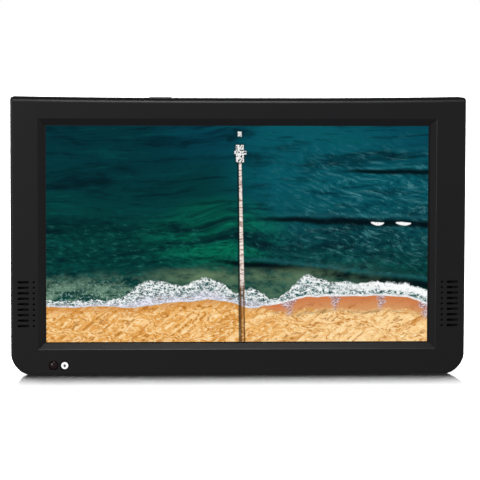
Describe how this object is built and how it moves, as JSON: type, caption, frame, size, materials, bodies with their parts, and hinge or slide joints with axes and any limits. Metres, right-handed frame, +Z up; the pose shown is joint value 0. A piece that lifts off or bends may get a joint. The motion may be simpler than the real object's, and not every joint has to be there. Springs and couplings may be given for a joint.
{
  "type": "portable television",
  "caption": "Slim portable flat-screen television with top keys, side speakers, side sockets and a fold-out rear stand.",
  "frame": {"origin": "middle of the footprint, on the surface that the feet stand on", "axes": "screen looks along -Y, +X is on the right of someone who watches it, +Z up"},
  "size_m": [0.3034, 0.036, 0.1863],
  "materials": {
    "black_plastic": "satin fine-grained moulding",
    "grey_plastic": "satin",
    "window_plastic": "polished, dark red-brown",
    "lamp_plastic": "translucent white",
    "screen": "lit picture behind a smooth front",
    "diffuser": "milky sheet",
    "steel": "plated sheet and wire",
    "circuit_board": "green solder resist",
    "dark_plastic": "moulded",
    "rubber": "matte",
    "battery_sleeve": "shrink sleeve over a metal can",
    "speaker_cone": "pressed paper",
    "magnet": "bare ferrite",
    "ribbon": "flat ribbon cable"
  },
  "bodies": {
    "case": {"front_bezel": "black_plastic", "rear_cover": "black_plastic", "lcd_panel": "screen", "backlight_unit": "diffuser", "panel_tray": "steel", "panel_bracket_left": "steel", "panel_bracket_right": "steel", "display_cable": "ribbon", "speaker_frame_left": "dark_plastic", "speaker_frame_right": "dark_plastic", "speaker_cone_left": "speaker_cone", "speaker_cone_right": "speaker_cone", "speaker_magnet_left": "magnet", "speaker_magnet_right": "magnet", "status_led": "lamp_plastic", "ir_window": "window_plastic", "ir_receiver": "dark_plastic", "sensor_board": "circuit_board", "main_board": "circuit_board", "tuner_module": "steel", "processor_chip": "dark_plastic", "rf_socket": "steel", "hdmi_port": "steel", "usb_port": "steel", "card_slot": "steel", "av_jack": "dark_plastic", "earphone_jack": "dark_plastic", "dc_jack": "dark_plastic", "power_switch_body": "dark_plastic", "key_board": "circuit_board", "battery_cell_1": "battery_sleeve", "battery_cell_2": "battery_sleeve", "battery_holder": "dark_plastic", "kickstand_hinge_pin": "steel", "foot_front_left": "rubber", "foot_front_right": "rubber", "foot_rear_left": "rubber", "foot_rear_right": "rubber", "key_switch_1": "dark_plastic", "key_switch_2": "dark_plastic", "key_switch_3": "dark_plastic", "key_switch_4": "dark_plastic", "key_switch_5": "dark_plastic", "key_switch_6": "dark_plastic", "key_switch_7": "dark_plastic", "case_screw_1": "steel", "case_screw_2": "steel", "case_screw_3": "steel", "case_screw_4": "steel", "case_screw_5": "steel", "case_screw_6": "steel"},
    "power_button": {"power_button": "grey_plastic"},
    "source_button": {"source_button": "black_plastic"},
    "menu_button": {"menu_button": "black_plastic"},
    "channel_down_button": {"channel_down_button": "black_plastic"},
    "channel_up_button": {"channel_up_button": "black_plastic"},
    "volume_down_button": {"volume_down_button": "black_plastic"},
    "volume_up_button": {"volume_up_button": "black_plastic"},
    "power_switch_knob": {"power_switch_knob": "black_plastic"},
    "kickstand": {"kickstand": "black_plastic"}
  },
  "joints": [
    {"name": "power_button_press", "type": "slide", "parent": "case", "child": "power_button", "axis": [0, 0, -1], "range_m": [0, 0.0008], "stiffness_N_per_m": 400, "springref_m": -0.0003},
    {"name": "source_button_press", "type": "slide", "parent": "case", "child": "source_button", "axis": [0, 0, -1], "range_m": [0, 0.0005], "stiffness_N_per_m": 400, "springref_m": -0.0003},
    {"name": "menu_button_press", "type": "slide", "parent": "case", "child": "menu_button", "axis": [0, 0, -1], "range_m": [0, 0.0005], "stiffness_N_per_m": 400, "springref_m": -0.0003},
    {"name": "channel_down_button_press", "type": "slide", "parent": "case", "child": "channel_down_button", "axis": [0, 0, -1], "range_m": [0, 0.0005], "stiffness_N_per_m": 400, "springref_m": -0.0003},
    {"name": "channel_up_button_press", "type": "slide", "parent": "case", "child": "channel_up_button", "axis": [0, 0, -1], "range_m": [0, 0.0005], "stiffness_N_per_m": 400, "springref_m": -0.0003},
    {"name": "volume_down_button_press", "type": "slide", "parent": "case", "child": "volume_down_button", "axis": [0, 0, -1], "range_m": [0, 0.0005], "stiffness_N_per_m": 400, "springref_m": -0.0003},
    {"name": "volume_up_button_press", "type": "slide", "parent": "case", "child": "volume_up_button", "axis": [0, 0, -1], "range_m": [0, 0.0005], "stiffness_N_per_m": 400, "springref_m": -0.0003},
    {"name": "power_switch_slide", "type": "slide", "parent": "case", "child": "power_switch_knob", "axis": [0, 0, 1], "range_m": [0, 0.003]},
    {"name": "kickstand_fold", "type": "hinge", "parent": "case", "child": "kickstand", "pos_m": [0, 0.0153, 0.106], "axis": [1, 0, 0], "range_deg": [0, 60]}
  ]
}
